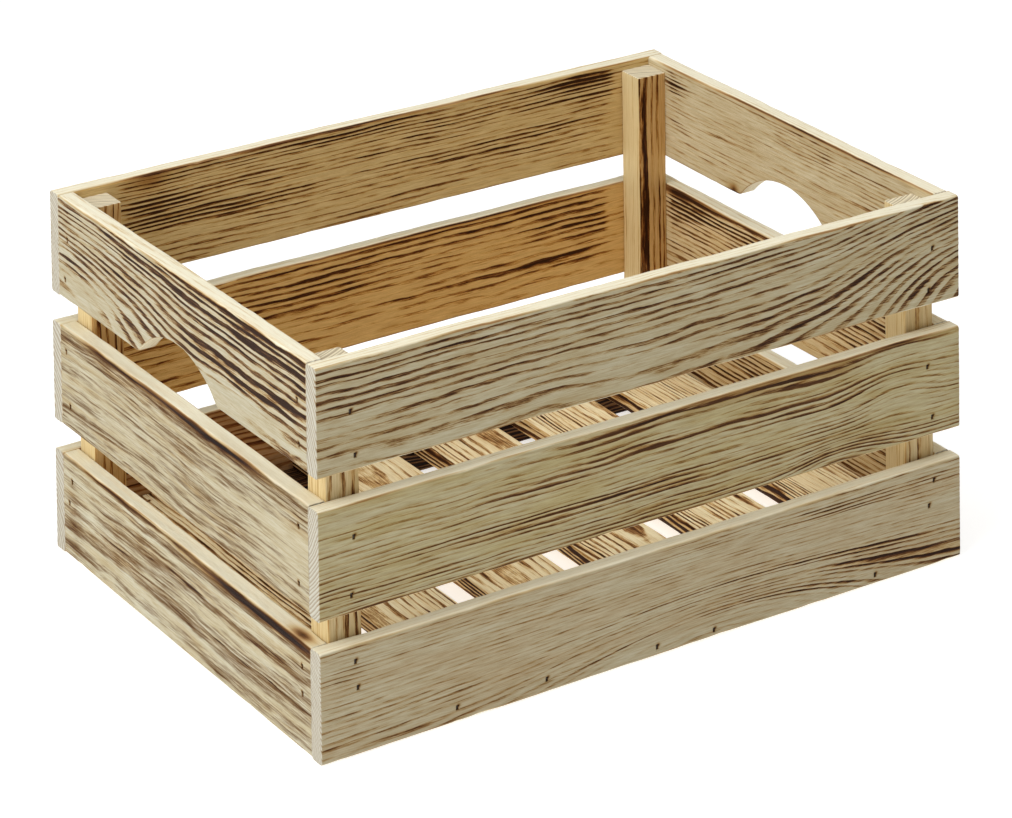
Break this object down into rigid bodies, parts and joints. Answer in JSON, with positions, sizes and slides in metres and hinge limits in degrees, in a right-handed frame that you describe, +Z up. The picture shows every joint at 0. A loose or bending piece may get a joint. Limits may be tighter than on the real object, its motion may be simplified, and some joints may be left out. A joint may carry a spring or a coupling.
{
  "type": "wooden crate",
  "caption": "Open slatted softwood crate with flame-scorched slats nailed round corner posts, a slatted floor and a hand-hold in each end.",
  "frame": {"origin": "centre of the crate's footprint, on the ground plane under the bottom slats and battens", "axes": "+X along the crate's long side towards the right end, +Y from the front to the back, +Z up out of the open top"},
  "size_m": [0.5, 0.36, 0.25],
  "materials": {
    "scorched_slats": "planed softwood scorched with a flame, dark growth lines, unfinished",
    "corner_posts": "planed softwood, scorched only on the sides that face into the crate",
    "floor_boards": "planed softwood, lightly scorched on top",
    "floor_battens": "softwood scorched dark on the side that faces into the crate",
    "nails": "bare wire, heads driven below the surface"
  },
  "bodies": {
    "root": {"front_slat_top": "scorched_slats", "front_slat_middle": "scorched_slats", "front_slat_bottom": "scorched_slats", "back_slat_top": "scorched_slats", "back_slat_middle": "scorched_slats", "back_slat_bottom": "scorched_slats", "left_slat_top": "scorched_slats", "left_slat_middle": "scorched_slats", "left_slat_bottom": "scorched_slats", "right_slat_top": "scorched_slats", "right_slat_middle": "scorched_slats", "right_slat_bottom": "scorched_slats", "corner_post_front_left": "corner_posts", "corner_post_front_right": "corner_posts", "corner_post_back_left": "corner_posts", "corner_post_back_right": "corner_posts", "floor_board_1": "floor_boards", "floor_board_2": "floor_boards", "floor_board_3": "floor_boards", "floor_board_4": "floor_boards", "floor_board_5": "floor_boards", "floor_board_6": "floor_boards", "floor_batten_front": "floor_battens", "floor_batten_back": "floor_battens", "front_slat_nails": "nails", "back_slat_nails": "nails", "left_slat_nails": "nails", "right_slat_nails": "nails", "front_batten_nails": "nails", "back_batten_nails": "nails", "floor_board_nails": "nails"}
  },
  "joints": []
}
